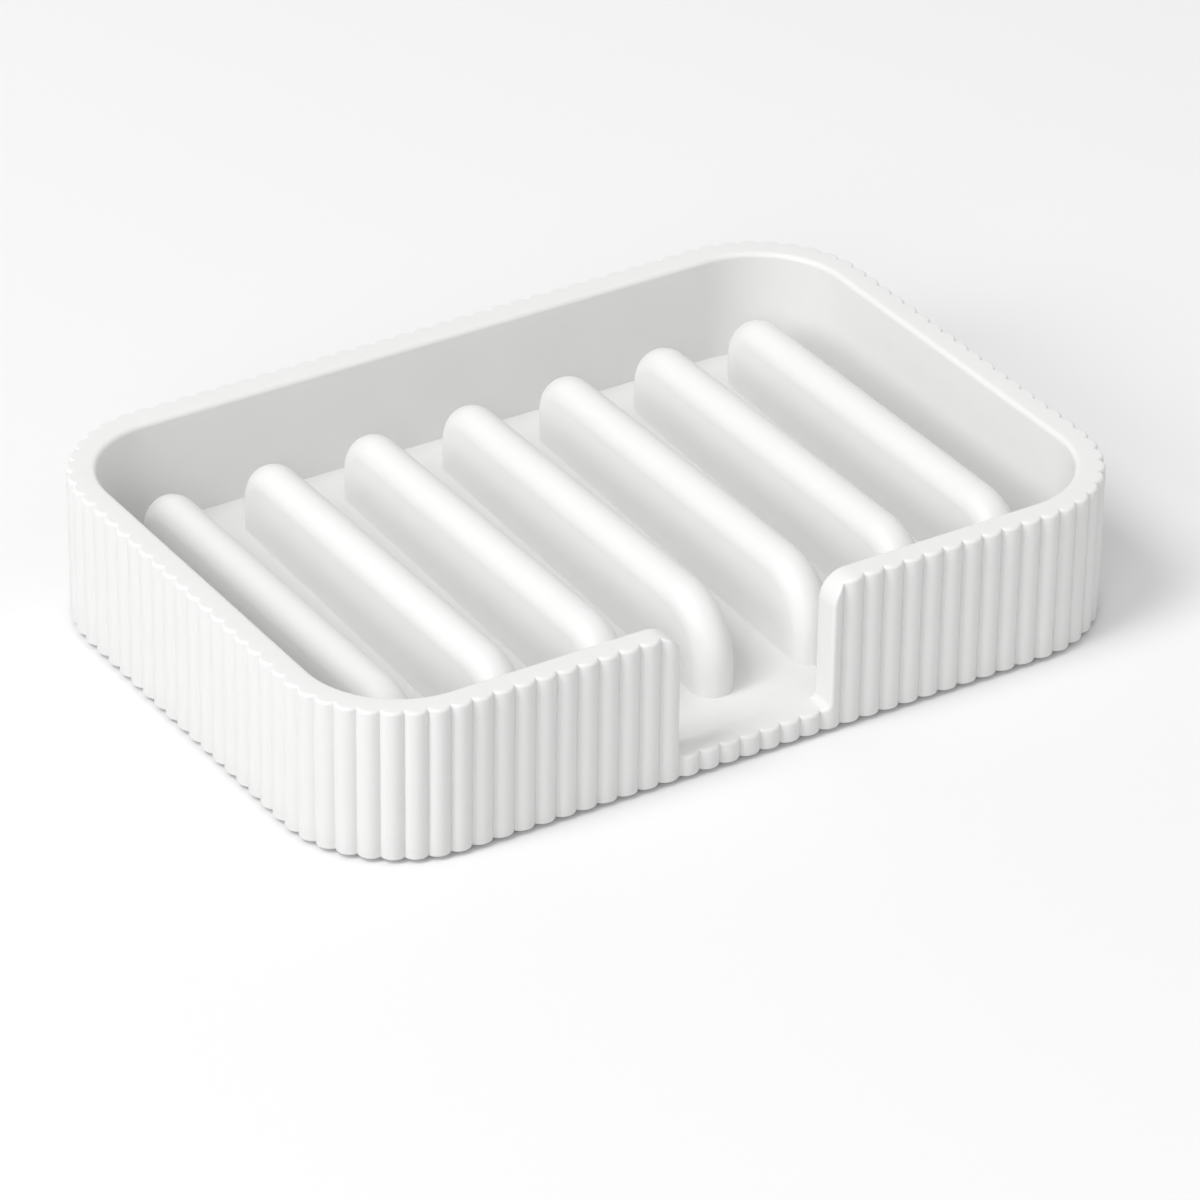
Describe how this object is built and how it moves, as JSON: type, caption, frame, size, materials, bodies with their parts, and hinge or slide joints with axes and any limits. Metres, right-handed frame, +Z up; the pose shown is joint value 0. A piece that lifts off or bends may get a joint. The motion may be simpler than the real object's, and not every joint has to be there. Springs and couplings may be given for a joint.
{
  "type": "soap dish",
  "caption": "Low rounded rectangular soap dish with a reeded outer wall, a drain notch in the front and a lift-out rack of round-topped ribs that keeps the soap dry.",
  "frame": {"origin": "on the ground under the four feet, below the middle of the dish", "axes": "+X along the long side, to the right seen from the notched front; +Y to the back, away from the notch; +Z up"},
  "size_m": [0.13, 0.0912, 0.0237],
  "materials": {
    "tray_white": "fine satin moulded white",
    "rack_white": "fine satin moulded white",
    "foot_pad": "matte pale grey silicone"
  },
  "bodies": {
    "tray": {"fluted_tray": "tray_white", "foot_front_left": "foot_pad", "foot_front_right": "foot_pad", "foot_rear_left": "foot_pad", "foot_rear_right": "foot_pad"},
    "rack": {"soap_rack": "rack_white"}
  },
  "joints": [
    {"name": "rack_lift", "type": "slide", "parent": "tray", "child": "rack", "axis": [0, 0, 1], "range_m": [0, 0.04]}
  ]
}
